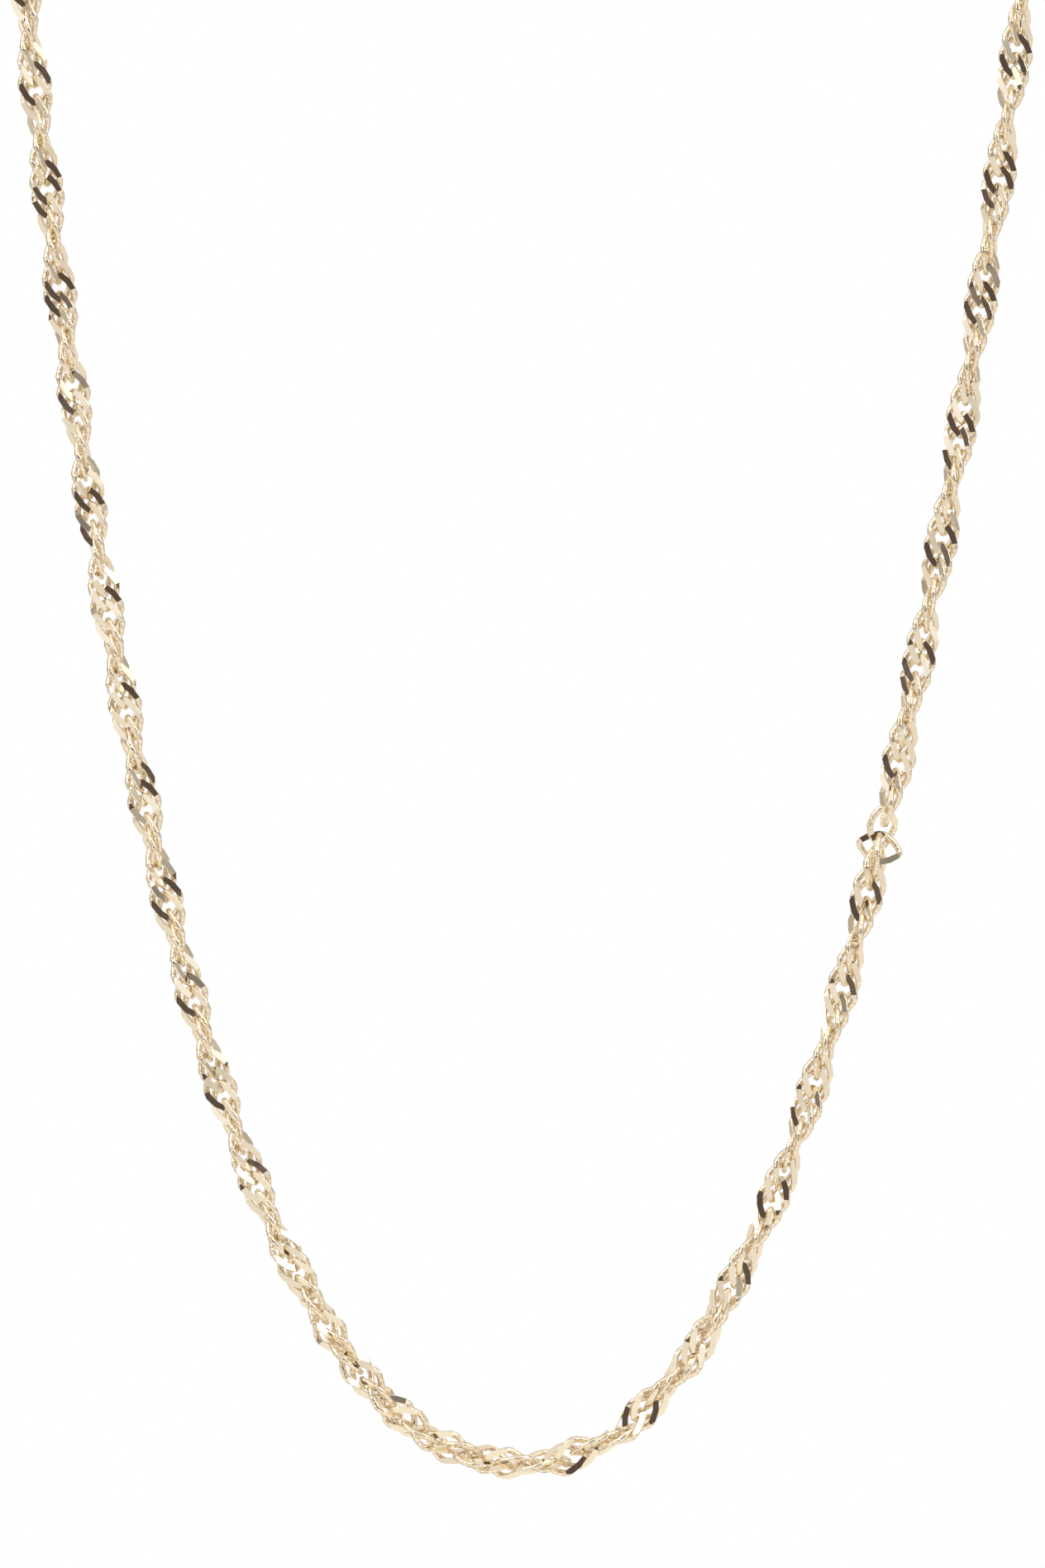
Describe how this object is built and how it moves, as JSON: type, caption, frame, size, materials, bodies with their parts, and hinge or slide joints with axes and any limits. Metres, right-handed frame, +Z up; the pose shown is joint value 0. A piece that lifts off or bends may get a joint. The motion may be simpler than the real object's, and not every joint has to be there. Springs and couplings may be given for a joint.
{
  "type": "twisted chain necklace",
  "caption": "Thin gold neck chain of flat-cut double links in a turning ribbon, hung as a closed loop with a plain round clasp.",
  "frame": {"origin": "the point at the top middle, under the clasp, where the loop rests on what holds it", "axes": "+Z up along the loop's length, +X across the loop, -Y the front, so Y is the chain's thin way"},
  "size_m": [0.0728, 0.0062, 0.2012],
  "materials": {
    "chain_gold": "yellow gold, wire polished bright, with flat mirror cuts on both faces of the ribbon",
    "clasp_gold": "yellow gold, polished all over"
  },
  "bodies": {
    "root": {"chain": "chain_gold", "clasp": "clasp_gold", "end_ring": "clasp_gold"}
  },
  "joints": []
}
